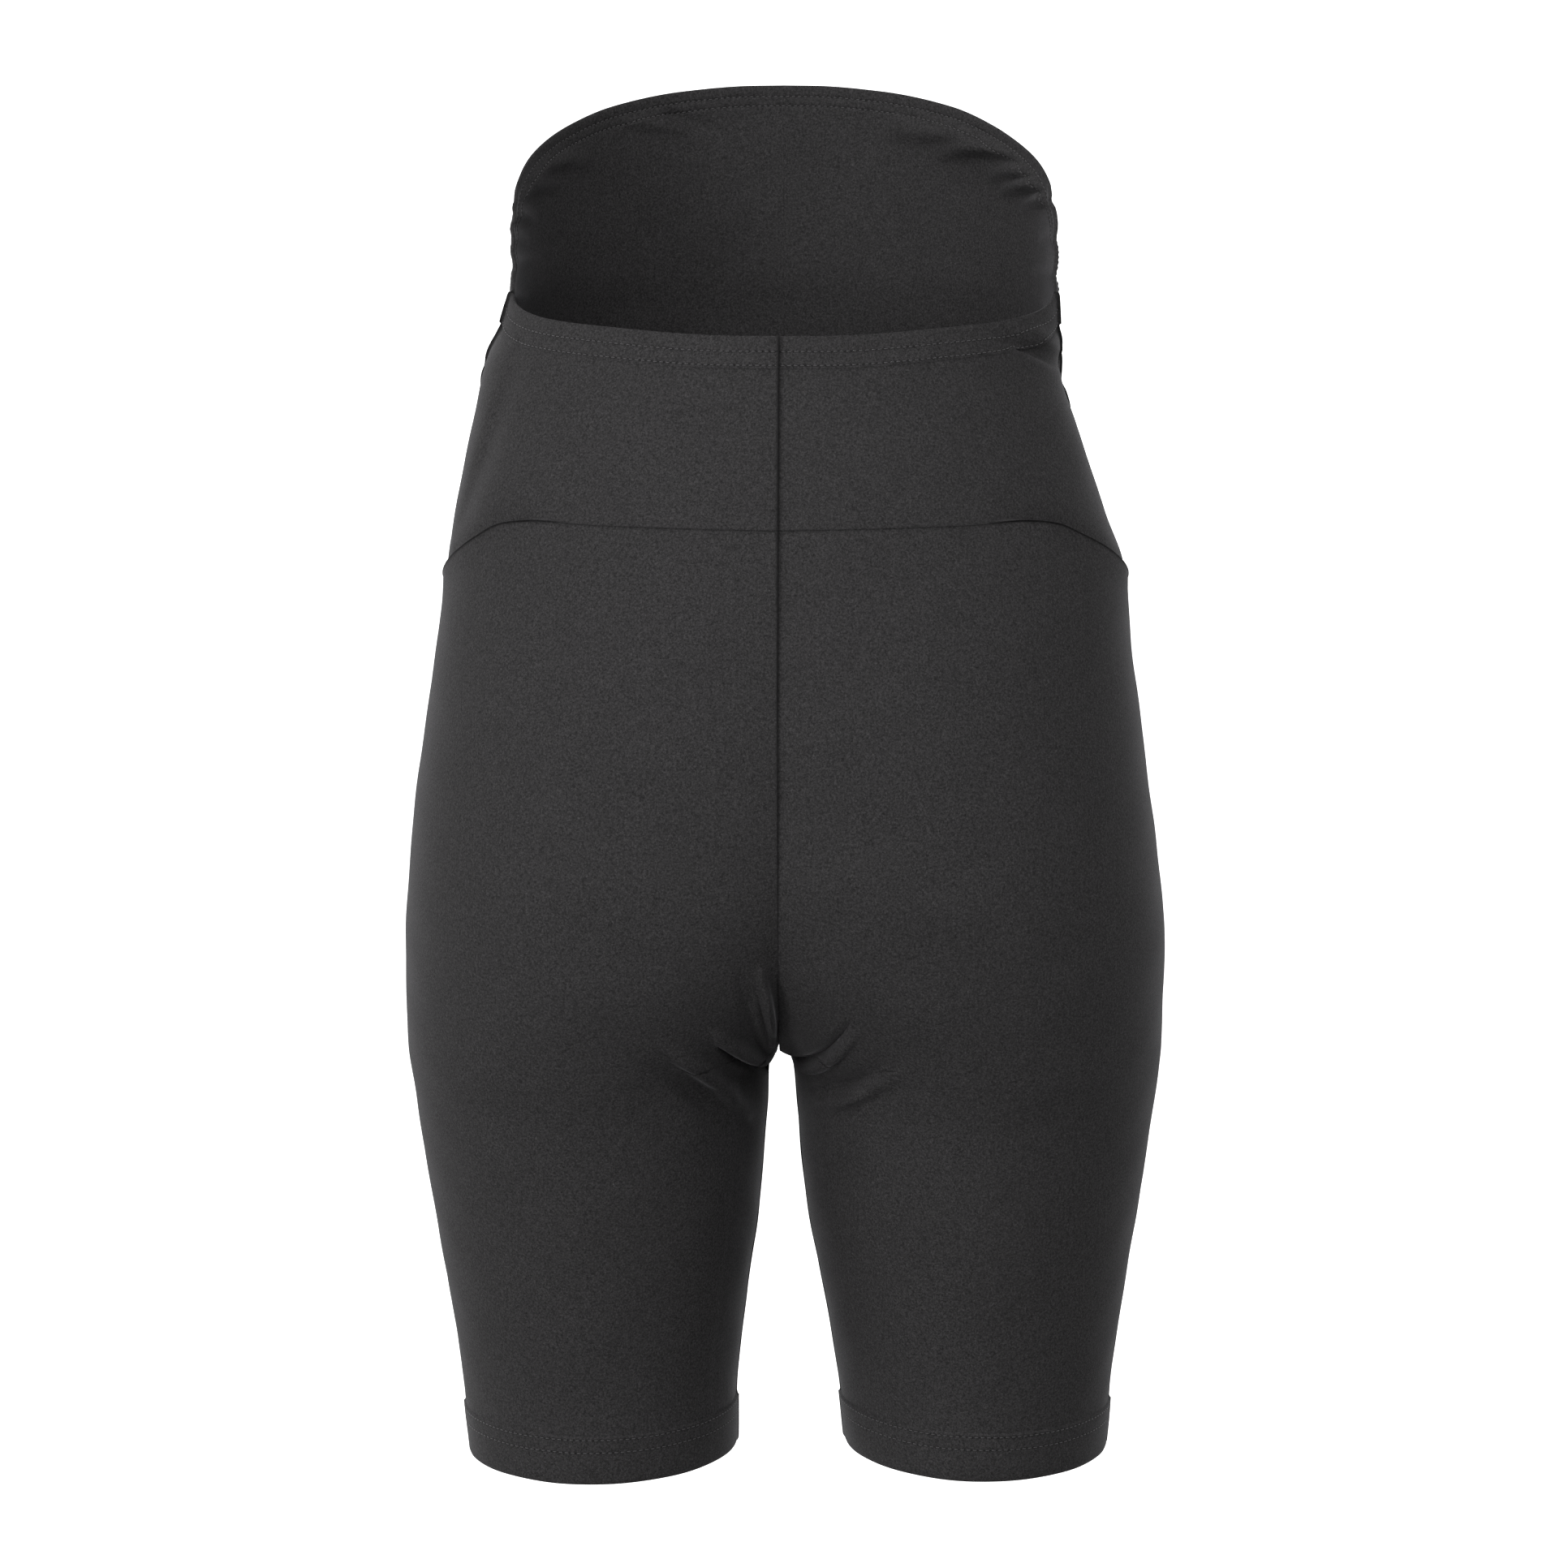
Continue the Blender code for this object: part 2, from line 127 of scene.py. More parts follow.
# Level sections in mm: half-width to each side, and where the back, the front and the widest place lie
SECTIONS = table("z left right back front widest square", (
    (116, 121, 119, 70, -125, -2, 2.0),
    (85, 123, 121, 70, -126, -2, 2.0),
    (60, 123, 125, 70, -126, -2, 2.0),
    (20, 120.5, 124, 76, -126, -2, 2.0),
    (0, 125, 124.5, 79, -127, -2, 2.0),
    (-20, 133.5, 125.5, 84, -127, -2, 2.1),
    (-45, 138.5, 133, 92, -125, 0, 2.2),
    (-85, 147, 146, 105, -118, 2, 2.3),
    (-112, 151, 155.5, 112, -112, 3, 2.3),
    (-150, 156, 159, 120, -105, 3, 2.3),
    (-195, 163, 165, 125, -98, 3, 2.3),
    (-240, 168, 171, 126, -93, 3, 2.3),
    (-285, 171, 175, 119, -89, 3, 2.2),
    (-328, 170, 174, 104, -86, 4, 2.1),
    (-355, 167, 171, 95, -84, 4, 2.0),
    (-400, 160, 165, 86, -79, 3, 2.0),
    (-450, 152, 157, 76, -72, 2, 2.0),
    (-490, 146, 152, 69, -66, 2, 2.0),
    (-525, 143, 149, 66, -63, 1, 2.0),
))

# How far the inner side of each half lies, as a share of its half-width: -1 where both make one oval,
# 0 at the crotch, above 0 down the separate legs
REACH = table("z left right", (
    (-85, -1.0, -1.0),
    (-120, -0.84, -0.84),
    (-150, -0.70, -0.70),
    (-195, -0.55, -0.55),
    (-240, -0.42, -0.42),
    (-285, -0.24, -0.24),
    (-312, -0.09, -0.09),
    (-328, 0.0, 0.0),
    (-338, 0.038, 0.038),
    (-360, 0.046, 0.053),
    (-400, 0.065, 0.078),
    (-450, 0.114, 0.139),
    (-490, 0.146, 0.189),
    (-525, 0.155, 0.214),
))

# Edges and seams in mm, by place round the body: 1 at centre back, 0 at the side, -1 at centre front
TOP_EDGE = table("around z", (
    (1.0, -5), (0.9, -4.9), (0.6, -1.5), (0.4, 1.5), (0.2, 7), (0.1, 13), (0.03, 26), (-0.03, 41),
    (-0.1, 55), (-0.2, 71), (-0.3, 81), (-0.4, 89), (-0.55, 98.5), (-0.75, 106), (-0.92, 108.8), (-1.0, 109),
))
WAIST_SEAM = table("around z", (
    (1.0, -88.5), (0.7, -87.3), (0.54, -86.4), (0.42, -88.5), (0.32, -95), (0.22, -102), (0.12, -109),
    (0.0, -117), (-0.2, -131), (-0.45, -148), (-0.7, -161), (-1.0, -168),
))
SIDE_SEAM = table("share around", (     # place round the body of the side seam, by its share of the way down
    (0.0, 0.10), (0.25, 0.0), (0.5, -0.07), (1.0, -0.12),
))

# Gathers of the belly panel in mm, each a ridge along a bow from the side seam to its front end. The bow has
# a start, a control point and an end, each given as its distance round from the side to the front and its
# level, and then a half-width and a height
GATHERS = {
    "left": table("x0 z0 x1 z1 x2 z2 width height", (
        (44, 66, 72, 77, 94, 71, 4.2, 3.0),
        (20, 54, 44, 64, 70, 61, 3.8, 2.8),
        (4, 46, 22, 50, 46, 46, 3.4, 2.6),
        (-6, 35, 14, 40, 36, 36, 3.0, 1.3),
        (-16, 23, 10, 28, 50, 27, 3.0, 1.5),
        (-22, 9, 8, 12, 34, 10, 3.2, 1.2),
        (-14, -5, 16, -4, 54, -6, 3.6, 1.7),
        (-4, -20, 24, -20, 42, -22, 3.4, 1.8),
        (2, -35, 30, -36, 66, -41, 4.0, 2.4),
        (7, -51, 34, -54, 50, -58, 3.6, 2.1),
        (11, -67, 40, -71, 70, -79, 4.2, 2.6),
        (14, -84, 42, -89, 58, -95, 4.0, 2.1),
        (17, -101, 46, -108, 70, -118, 4.4, 2.2),
        (112, 93, 128, 90, 148, 87, 3.0, 2.6),
        (136, 96, 148, 92, 163, 85, 3.0, -2.6),
    )),
    "right": table("x0 z0 x1 z1 x2 z2 width height", (
        (46, 71, 76, 86, 114, 75, 3.2, 9.0),
        (27, 63, 44, 73, 84, 65, 2.8, 8.0),
        (12, 59, 44, 66, 76, 58, 2.7, 8.0),
        (3, 51, 25, 59, 60, 51, 2.6, 5.0),
        (-6, 35, 15, 40, 38, 36, 3.2, 1.2),
        (-16, 18, 12, 23, 46, 21, 3.4, 1.4),
        (-20, 3, 8, 6, 30, 5, 3.2, 1.1),
        (-10, -12, 14, -11, 54, -14, 3.8, 1.8),
        (0, -28, 24, -28, 46, -31, 3.6, 2.0),
        (5, -44, 32, -46, 68, -52, 4.2, 2.6),
        (9, -60, 36, -63, 54, -68, 3.8, 2.2),
        (12, -76, 44, -81, 74, -90, 4.2, 2.6),
        (16, -93, 44, -99, 62, -106, 4.2, 2.2),
        (96, 87, 118, 86, 142, 88, 5.0, 4.2),
    )),
}
QUARTER = 192 * MM          # length round the belly from the side to the centre front
GATHER_SKEW = -0.15         # how much steeper a ridge's upper side is than its lower: below 0, it is gentler
SEAM_SHARE = 0.25           # share of a gather's height left at the side seam itself
SEAM_FADE = 11 * MM         # over which it grows to its whole height
PUCKER_FADE = 4 * MM        # the yoke puckers along the same seam, over this width
HEM_CALM = 10 * MM          # the turned hem holds the gathers flat to about this depth
CALM_START = -0.04          # forward of this place round the body
CALM_FADE = 0.1

# Folds of the back in mm, each along such a bow, given by x and z as seen from behind, with its half-width
# and its height (below 0 for a trough)
BACK_FOLDS = table("x0 z0 x1 z1 x2 z2 width height", (
    (8.5, -282, 5.6, -301, 4.8, -321, 1.7, -5.0),
    (10.8, -296, 9.2, -313, 6.2, -326, 2.2, -2.4),
    (17, -284, 14, -303, 12, -315, 4.0, 1.2),
    (27, -314, 17, -324.5, 6.5, -334, 2.8, -7.0),
    (25.5, -318.5, 16.5, -329, 4.5, -344, 2.4, 5.0),
    (47, -320, 32, -329, 18, -357, 3.2, -5.0),
    (56, -326, 38, -340, 24, -366, 5.0, 2.4),
    (-2, -311, -1.5, -320, -4.5, -329, 2.2, -4.4),
    (-5, -333, -17, -332, -31, -307.5, 1.8, 3.8),
    (-9, -337.5, -21, -335, -34.5, -311, 1.8, -3.0),
    (-20, -345.5, -33, -339, -45, -327.5, 3.2, 2.8),
    (-23, -351, -37, -344.5, -50, -331, 2.8, -3.0),
    (117, -14, 131, -56, 145, -97, 4.8, 1.9),
    (-99, -9, -112, -13, -126, -21, 2.6, 2.2),
    (-105, -4, -114, -7, -124, -12.5, 3.2, -2.4),
))
FRONT_FOLDS = table("x0 z0 x1 z1 x2 z2 width height", (
    (8, -312, 22, -300, 44, -293, 3.6, -1.8),
    (7, -322, 24, -314, 50, -312, 4.2, 1.6),
    (9, -334, 26, -329, 46, -333, 3.6, -1.6),
    (-8, -308, -20, -296, -38, -287, 3.8, -1.7),
    (-7, -319, -22, -309, -46, -304, 4.2, 1.5),
    (-9, -332, -24, -328, -42, -330, 3.4, -1.5),
    (-8, -345, -20, -347, -34, -355, 3.6, 1.2),
))
FOLD_STEPS = 12             # straight steps that a bow is measured along
FOLD_SKEW = 0.4             # how much steeper a fold is on one side of its bow
LIP_HEIGHT = 2.2 * MM       # the yoke rolls out over its seam near the sides
LIP_DEPTH = 7 * MM
LIP_EDGE = 0.9 * MM
LIP_ENDS = (0.62, -0.03)    # places round the body where the lip ends
LIP_FADE = 0.15             # over which it fades there
TUCK_DEPTH = 1.7 * MM       # and both dip to the seam
TUCK_WIDTH = 7 * MM


def curve(rows, name, at):
    """Smooth curve through one column of a table, without overshoot."""
    places, values = [rows[key] for key in (next(iter(rows)), name)]
    step = np.diff(places)
    slope = np.diff(values) / step
    product = slope[:-1] * slope[1:]
    total = np.where(product > 0, slope[:-1] + slope[1:], 1.0)
    inner = np.where(product > 0, 2 * product / total, 0.0)
    tangent = np.concatenate((slope[:1], inner, slope[-1:]))
    at = np.clip(at, places[0], places[-1])
    row = np.clip(np.searchsorted(places, at) - 1, 0, len(step) - 1)
    t = (at - places[row]) / step[row]
    start = values[row] * (1 + 2 * t) * (1 - t) ** 2 + tangent[row] * step[row] * t * (1 - t) ** 2
    end = values[row + 1] * t ** 2 * (3 - 2 * t) - tangent[row + 1] * step[row] * t ** 2 * (1 - t)
    return start + end


def signed_power(value, power):
    return np.sign(value) * np.abs(value) ** power


def half_section(side, z):
    """Middle, half-width and roundness of one half at level z, in metres."""
    level = z / MM
    outer = curve(SECTIONS, side, level) * MM
    inner = curve(REACH, side, level) * outer
    return (outer + inner) / 2, (outer - inner) / 2, curve(SECTIONS, "square", level)


def centre_angle(side, z):
    """Angle from the side to where the half ends: on the middle plane, or at the inside of the leg."""
    middle, half, square = half_section(side, z)
    share = np.clip(middle / half, 0.0, 1.0)
    return np.arccos(-share ** (square / 2))


def bare_point(side, angle, z):
    """The surface before folds. The angle is 0 at the side, positive behind and negative in front."""
    middle, half, square = half_section(side, z)
    level = z / MM
    widest = curve(SECTIONS, "widest", level) * MM
    back = curve(SECTIONS, "back", level) * MM - widest
    front = widest - curve(SECTIONS, "front", level) * MM
    across = signed_power(np.cos(angle), 2 / square)
    along = signed_power(np.sin(angle), 2 / square)
    y = widest + np.where(angle > 0, back, front) * along
    return np.stack((SIDES[side] * (middle + half * across), y, z), axis=-1)


def normal_at(side, angle, z, surface):
    """Outward unit normal of a surface function, from small steps round and down."""
    turn = 0.004
    drop = 0.4 * MM
    round_step = surface(side, angle + turn, z) - surface(side, angle - turn, z)
    down_step = surface(side, angle, z - drop) - surface(side, angle, z + drop)
    normal = np.cross(round_step, down_step) * SIDES[side]
    return normal / np.linalg.norm(normal, axis=-1, keepdims=True)


def bow_relief(bows, x, z, strength, skew):
    """Height of a table of ridges and troughs, each as strong along its bow as the strength function says."""
    height = np.zeros_like(z)
    t = np.linspace(0.0, 1.0, FOLD_STEPS + 1)
    for x0, z0, x1, z1, x2, z2, width, fold_height in zip(*bows.values()):
        bow_x = ((1 - t) ** 2 * x0 + 2 * t * (1 - t) * x1 + t ** 2 * x2) * MM
        bow_z = ((1 - t) ** 2 * z0 + 2 * t * (1 - t) * z1 + t ** 2 * z2) * MM
        nearest = np.full_like(z, np.inf)
        place = np.zeros_like(z)
        upper = np.zeros_like(z)
        for number in range(FOLD_STEPS):
            step_x, step_z = np.diff(bow_x)[number], np.diff(bow_z)[number]
            share = (x - bow_x[number]) * step_x + (z - bow_z[number]) * step_z
            share = np.clip(share / (step_x ** 2 + step_z ** 2), 0.0, 1.0)
            away_x = x - bow_x[number] - share * step_x
            away_z = z - bow_z[number] - share * step_z
            distance = away_x ** 2 + away_z ** 2
            place = np.where(distance < nearest, (number + share) / FOLD_STEPS, place)
            upper = np.where(distance < nearest, np.sign(step_x * away_z - step_z * away_x), upper)
            nearest = np.minimum(nearest, distance)
        ridge = np.exp(-nearest / (width * MM * (1 - skew * upper)) ** 2)
        height += fold_height * MM * strength(place) * ridge
    return height


def strong_at_start(place):
    return np.cos(place * np.pi / 2) ** 0.7


def strong_at_middle(place):
    return 0.35 + 0.65 * np.sin(np.pi * place)


def seam_place(z):
    """Place round the body of the side seam at level z."""
    top = curve(TOP_EDGE, "z", SIDE_SEAM["around"][0]) * MM
    bottom = curve(WAIST_SEAM, "z", SIDE_SEAM["around"][-1]) * MM
    return curve(SIDE_SEAM, "around", (top - z) / (top - bottom))


def gathers(side, angle, z):
    """Ridges of the ruched belly panel, and the puckers that they leave in the yoke beyond the seam."""
    around = angle / centre_angle(side, z)
    height = bow_relief(GATHERS[side], -around * QUARTER, z, strong_at_start, GATHER_SKEW)
    ahead = (seam_place(z) - around) * QUARTER
    grown = SEAM_SHARE + (1 - SEAM_SHARE) * (1 - np.exp(-np.maximum(ahead, 0.0) / SEAM_FADE))
    pucker = SEAM_SHARE * np.exp(-(ahead / PUCKER_FADE) ** 2)
    depth = np.maximum(curve(TOP_EDGE, "z", around) * MM - z, 0.0)
    calm = np.exp(-(depth / HEM_CALM) ** 4) * np.clip((CALM_START - around) / CALM_FADE, 0.0, 1.0)
    return height * np.where(ahead > 0, grown, pucker) * (1 - calm)


def folds(rows, side, angle, z):
    """Troughs and ridges of one side, placed as they are seen from behind or in front."""
    same_side = rows["x1"] * SIDES[side] > 0
    bows = {name: column[same_side] for name, column in rows.items()}
    return bow_relief(bows, bare_point(side, angle, z)[..., 0], z, strong_at_middle, FOLD_SKEW)


def back_folds(side, angle, z):
    return np.where(angle > 0, folds(BACK_FOLDS, side, angle, z), 0.0)


def front_folds(side, angle, z):
    return np.where(angle < 0, folds(FRONT_FOLDS, side, angle, z), 0.0)


def lip_share(around):
    """1 along most of the lip, fading to 0 at its ends."""
    behind, ahead = [np.clip(np.abs(around - end) / LIP_FADE, 0.0, 1.0) for end in LIP_ENDS]
    return behind * ahead * ((around < LIP_ENDS[0]) & (around > LIP_ENDS[1]))


def yoke_lip(side, angle, z):
    """The yoke's lower edge, which rolls out and then dips to the seam."""
    around = angle / centre_angle(side, z)
    above = np.maximum(z - curve(WAIST_SEAM, "z", around) * MM, 0.0)
    roll = LIP_HEIGHT * (1 - np.exp(-(above / LIP_EDGE) ** 2)) * np.exp(-(above / LIP_DEPTH) ** 2)
    return lip_share(around) * (roll - TUCK_DEPTH * np.exp(-(above / LIP_EDGE) ** 2))


def leg_tuck(side, angle, z):
    """The soft hollow of the leg under the yoke's lip."""
    around = angle / centre_angle(side, z)
    below = np.maximum(curve(WAIST_SEAM, "z", around) * MM - z, 0.0)
    return -TUCK_DEPTH * lip_share(around) * np.exp(-(below / TUCK_WIDTH) ** 1.5)


def slack(side, angle, z):
    """Faint uneven slack, so that no stretch is perfectly smooth."""
    turn = angle * 3.1 + SIDES[side] * 1.7
    level = z * 71.0
    return SLACK * (np.sin(turn + level) + 0.7 * np.sin(2.3 * turn - 1.6 * level + 0.9)
                    + 0.5 * np.sin(3.9 * turn + 2.9 * level + 2.2))


def one_shell_in(side, angle, z):
    return np.full_like(z, -SHELL)


def folded_surface(*reliefs):
    """Surface function with the given reliefs raised along the bare surface's normal."""
    def surface(side, angle, z):
        height = sum((relief(side, angle, z) for relief in reliefs), np.zeros_like(z))
        point = bare_point(side, angle, z) + normal_at(side, angle, z, bare_point) * height[..., None]
        return kept_to_side(side, point)
    return surface


def kept_to_side(side, point):
    """The same point, on its own side of the middle plane."""
    point[..., 0] = SIDES[side] * np.maximum(SIDES[side] * point[..., 0], 0.0)
    return point


BELLY_INSIDE = folded_surface(gathers, slack, one_shell_in)
YOKE_SURFACE = folded_surface(gathers, back_folds, yoke_lip, slack)
LEG_BACK_SURFACE = folded_surface(back_folds, leg_tuck, slack)
LEG_FRONT_SURFACE = folded_surface(front_folds, leg_tuck, slack)


def top_edge(side, around):
    return curve(TOP_EDGE, "z", around) * MM


def band_share(around):
    """How much of the top hem's depth shows: less in front, where the edge curls inward."""
    return 1 - BAND_NARROWS * np.clip(-around / BAND_FADE, 0.0, 1.0)


def leg_edge(side, around):
    return LEG_END[side] + LEG_END_RISE * np.cos(np.pi * around) ** 2 + LEG_END_TILT * np.abs(around)


def spaced(start, end, step):
    """Even places from a start up to an end, without the end."""
    return list(np.linspace(start, end, max(1, round((end - start) / step)), endpoint=False))


def column_shares(length, *stretches):
    """Shares from 0 to 1 along a length, finer near both ends, with a step for each stretch of it."""
    places = list(EDGE_MARKS[:-1])
    start = EDGE_MARKS[-1]
    for end, step in stretches:
        end = min(end, length - EDGE_MARKS[-1])
        places += spaced(start, end, step)
        start = end
    places += [length - mark for mark in reversed(EDGE_MARKS)]
    return np.array(places) / length


def hem_depths(hem, lines):
    """Distances from a hem's edge, finer at the edge, by the stitch lines and where the hem ends."""
    depths = {mark * MM for mark in HEM_MARKS} | {hem, hem + HEM_STEP}
    for line in lines:
        depths |= {line + mark * MM for mark in STITCH_MARKS}
    depths = sorted(depth for depth in depths if depth <= hem + HEM_STEP)
    filled = [depths[0]]
    for depth in depths[1:]:
        if depth - filled[-1] > LARGEST_HEM_STEP * MM:
            filled.append((depth + filled[-1]) / 2)
        if depth - filled[-1] > SMALLEST_HEM_STEP * MM:
            filled.append(depth)
    return filled


def waist_grid(side, columns, end):
    """Angles, levels and distance from the top edge of one side's waist piece."""
    depths = hem_depths(WAIST_HEM, WAIST_LINES)
    rows = [(depth, 0.0) for depth in depths]
    places = spaced(0.0, WAIST_HEIGHT - EDGE_MARKS[-1], WAIST_ROW_STEP)[1:]
    places += [WAIST_HEIGHT - mark for mark in reversed(EDGE_MARKS)]
    rows += [(depths[-1], place / WAIST_HEIGHT) for place in places]
    angles, levels, drops = [], [], []
    for depth, share in rows:
        seam = curve(SIDE_SEAM, "around", share)
        around = seam + (end - seam) * columns
        top = curve(TOP_EDGE, "z", around) * MM
        bottom = curve(WAIST_SEAM, "z", around) * MM
        hem_end = top - depth * band_share(around)
        z = hem_end + (bottom - hem_end) * share
        angles.append(around * centre_angle(side, z))
        levels.append(z)
        drops.append(np.full_like(z, depth))
    return np.array(angles), np.array(levels), np.array(drops)


def leg_grid(side, columns, end, fine_step):
    """Angles, levels and distance from the hem's edge of one leg piece, with finer rows about the crotch."""
    around = end * columns
    seam = curve(WAIST_SEAM, "z", around) * MM
    hem = leg_edge(side, around)
    depths = hem_depths(LEG_HEM, LEG_LINES)
    hem_top = hem + depths[-1]
    upper = list(EDGE_MARKS[:-1]) + spaced(EDGE_MARKS[-1], FINE_START, LEG_ROW_STEP)
    upper += spaced(FINE_START, UPPER_HEIGHT, fine_step) + [UPPER_HEIGHT]
    upper = np.array(upper) / UPPER_HEIGHT
    lower = spaced(0, FINE_END, fine_step)[1:] + spaced(FINE_END, LOWER_HEIGHT, LEG_ROW_STEP)
    lower = np.array(lower + [LOWER_HEIGHT]) / LOWER_HEIGHT
    levels = [seam + (CROTCH - seam) * share for share in upper]
    levels += [CROTCH + (hem_top - CROTCH) * share for share in lower]
    drops = [np.full_like(seam, depths[-1])] * len(levels)
    levels += [hem + depth for depth in reversed(depths[:-1])]
    drops += [np.full_like(seam, depth) for depth in reversed(depths[:-1])]
    levels = np.array(levels)
    return around * centre_angle(side, levels), levels, np.array(drops)


def run_lengths(points, axis):
    """Length along the grid's rows or columns, from the first point."""
    steps = np.linalg.norm(np.diff(points, axis=axis), axis=-1)
    zero = np.zeros_like(np.take(steps, [0], axis=axis))
    return np.concatenate((zero, np.cumsum(steps, axis=axis)), axis=axis)


def groove(distance):
    """Depth of the cut and furrow at a distance from a seam."""
    cut = SEAM_CUT * np.exp(-distance / SEAM_CUT_WIDTH)
    furrow = SEAM_FURROW * np.exp(-(distance / SEAM_FURROW_WIDTH) ** 2)
    return cut + furrow


def shell_layers(base, normal, drops, hem, lines, hem_first, raised=0.0):
    """Outer and inner points of a shell with seam grooves and a turned hem, and its places on the cloth."""
    across = run_lengths(base, 1)
    down = run_lengths(base, 0)
    first_seam, last_seam = groove(across), groove(across[:, -1:] - across)
    if hem_first:
        seams = first_seam + last_seam + FLAT_SEAM_SHARE * groove(down[-1:] - down)
    else:
        centre_share = np.where(base[:, -1:, 2] > CROTCH, 1.0, FLAT_SEAM_SHARE)
        seams = centre_share * last_seam + FLAT_SEAM_SHARE * (first_seam + groove(down))
    roll = EDGE_ROLL * np.exp(-(drops / EDGE_ROLL_WIDTH) ** 2)
    from_line = np.min([np.abs(drops - line) for line in lines], axis=0)
    dents = STITCH_DENT * np.exp(-(from_line / STITCH_DENT_WIDTH) ** 2)
    layers = np.where(drops <= hem + ROUNDING, HEM_SHELL, SHELL)
    outer = base + normal * (raised - seams - roll - dents)[..., None]
    inner = base + normal * (raised - seams - layers + roll)[..., None]
    return outer, inner, across, down, from_line, seams


def add_shell(name, outer, inner, across, down, from_line, seams):
    """Closed shell between two grids of points, with cloth lengths, stitch distances and painted shade along
    its seams.
    """
    rows, columns = outer.shape[:2]
    layer = rows * columns
    index = np.arange(layer).reshape(rows, columns)
    quads = np.stack((index[:-1, :-1], index[:-1, 1:], index[1:, 1:], index[1:, :-1]), axis=-1).reshape(-1, 4)
    rim = np.concatenate((index[0], index[1:, -1], index[-1, -2::-1], index[-2:0:-1, 0]))
    after = np.roll(rim, -1)
    rim_quads = np.stack((after, rim, layer + rim, layer + after), axis=-1)
    faces = np.concatenate((quads, layer + quads[:, ::-1], rim_quads))
    points = np.concatenate((outer.reshape(-1, 3), inner.reshape(-1, 3)))
    if np.dot(face_normal(outer), outer[rows // 2, columns // 2] - outer.mean(axis=(0, 1)) * (0, 0, 1)) < 0:
        faces = faces[:, ::-1]
    mesh = bpy.data.meshes.new(name)
    mesh.from_pydata(points.tolist(), [], faces.tolist())
    lengths = np.stack((across, down), axis=-1).reshape(-1, 2)
    spots = np.concatenate((lengths, lengths + (INSIDE_SHIFT, 0.0)))
    corners = np.array([corner for polygon in faces.tolist() for corner in polygon])
    mesh.uv_layers.new(name="cloth").data.foreach_set("uv", spots[corners].ravel())
    beside = np.stack((across, from_line), axis=-1).reshape(-1, 2)
    beside = np.concatenate((beside, beside))
    mesh.uv_layers.new(name="stitching").data.foreach_set("uv", beside[corners].ravel())
    # painted shade along the seams, darker where a seam's groove is deeper, kept in the seam attribute
    painted_seam_shade = np.tile(np.minimum(seams.ravel() / SEAM_SHADE_DEPTH, 1.0), 2)
    mesh.attributes.new("seam", "FLOAT", "POINT").data.foreach_set("value", painted_seam_shade)
    mesh.shade_smooth()
    mesh.set_sharp_from_angle(angle=SHARP_ANGLE)
    piece = bpy.data.objects.new(name, mesh)
    bpy.context.scene.collection.objects.link(piece)
    return piece


def face_normal(points):
    """Normal of the middle quad of a grid."""
    row, column = points.shape[0] // 2, points.shape[1] // 2
    first = points[row, column + 1] - points[row, column]
    second = points[row + 1, column] - points[row, column]
    return np.cross(first, second)


# Each piece's columns, worked out for its length in mm from the side seam
BELLY_COLUMNS = column_shares(210, (210, COLUMN_STEP))
YOKE_COLUMNS = column_shares(160, (160, COLUMN_STEP))
LEG_FRONT_COLUMNS = column_shares(210, (210, COLUMN_STEP))
LEG_BACK_COLUMNS = column_shares(200, (138, COLUMN_STEP), (200, CREASE_STEP))


def join_halves(left, right):
    """One grid from the left seam round the front to the right seam."""
    middle = (left[:, -1:] + right[:, -1:]) / 2
    return np.concatenate((left[:, :-1], middle, right[:, -2::-1]), axis=1)


def make_belly_panel():
    """One panel round the front, from side seam to side seam."""
    halves = []
    for side in SIDES:
        angles, levels, drops = waist_grid(side, BELLY_COLUMNS, -1)
        base = BELLY_INSIDE(side, angles, levels)
        halves.append((base, normal_at(side, angles, levels, BELLY_INSIDE), drops))
    base, normal, drops = [join_halves(left, right) for left, right in zip(*halves)]
    normal = normal / np.linalg.norm(normal, axis=-1, keepdims=True)
    layers = shell_layers(base, normal, drops, WAIST_HEM, WAIST_LINES, hem_first=True, raised=SHELL)
    return add_shell("belly_panel_jersey", *layers)


def make_half_piece(name, surface, side, grid, hem, lines, hem_first):
    """A piece that lies on one side of the middle plane."""
    angles, levels, drops = grid
    normal = normal_at(side, angles, levels, surface)
    layers = shell_layers(surface(side, angles, levels), normal, drops, hem, lines, hem_first)
    outer, inner = [kept_to_side(side, points) for points in layers[:2]]
    return add_shell(name, outer, inner, *layers[2:])


def make_yoke(side):
    grid = waist_grid(side, YOKE_COLUMNS, 1)
    return make_half_piece(f"yoke_back_{side}_jersey", YOKE_SURFACE, side, grid, WAIST_HEM, WAIST_LINES, True)


def make_leg(side, part):
    columns, end, surface, fine_step = {
        "back": (LEG_BACK_COLUMNS, 1, LEG_BACK_SURFACE, CREASE_STEP),
        "front": (LEG_FRONT_COLUMNS, -1, LEG_FRONT_SURFACE, FRONT_CREASE_STEP),
    }[part]
    grid = leg_grid(side, columns, end, fine_step)
    return make_half_piece(f"leg_{part}_{side}_jersey", surface, side, grid, LEG_HEM, LEG_LINES, False)


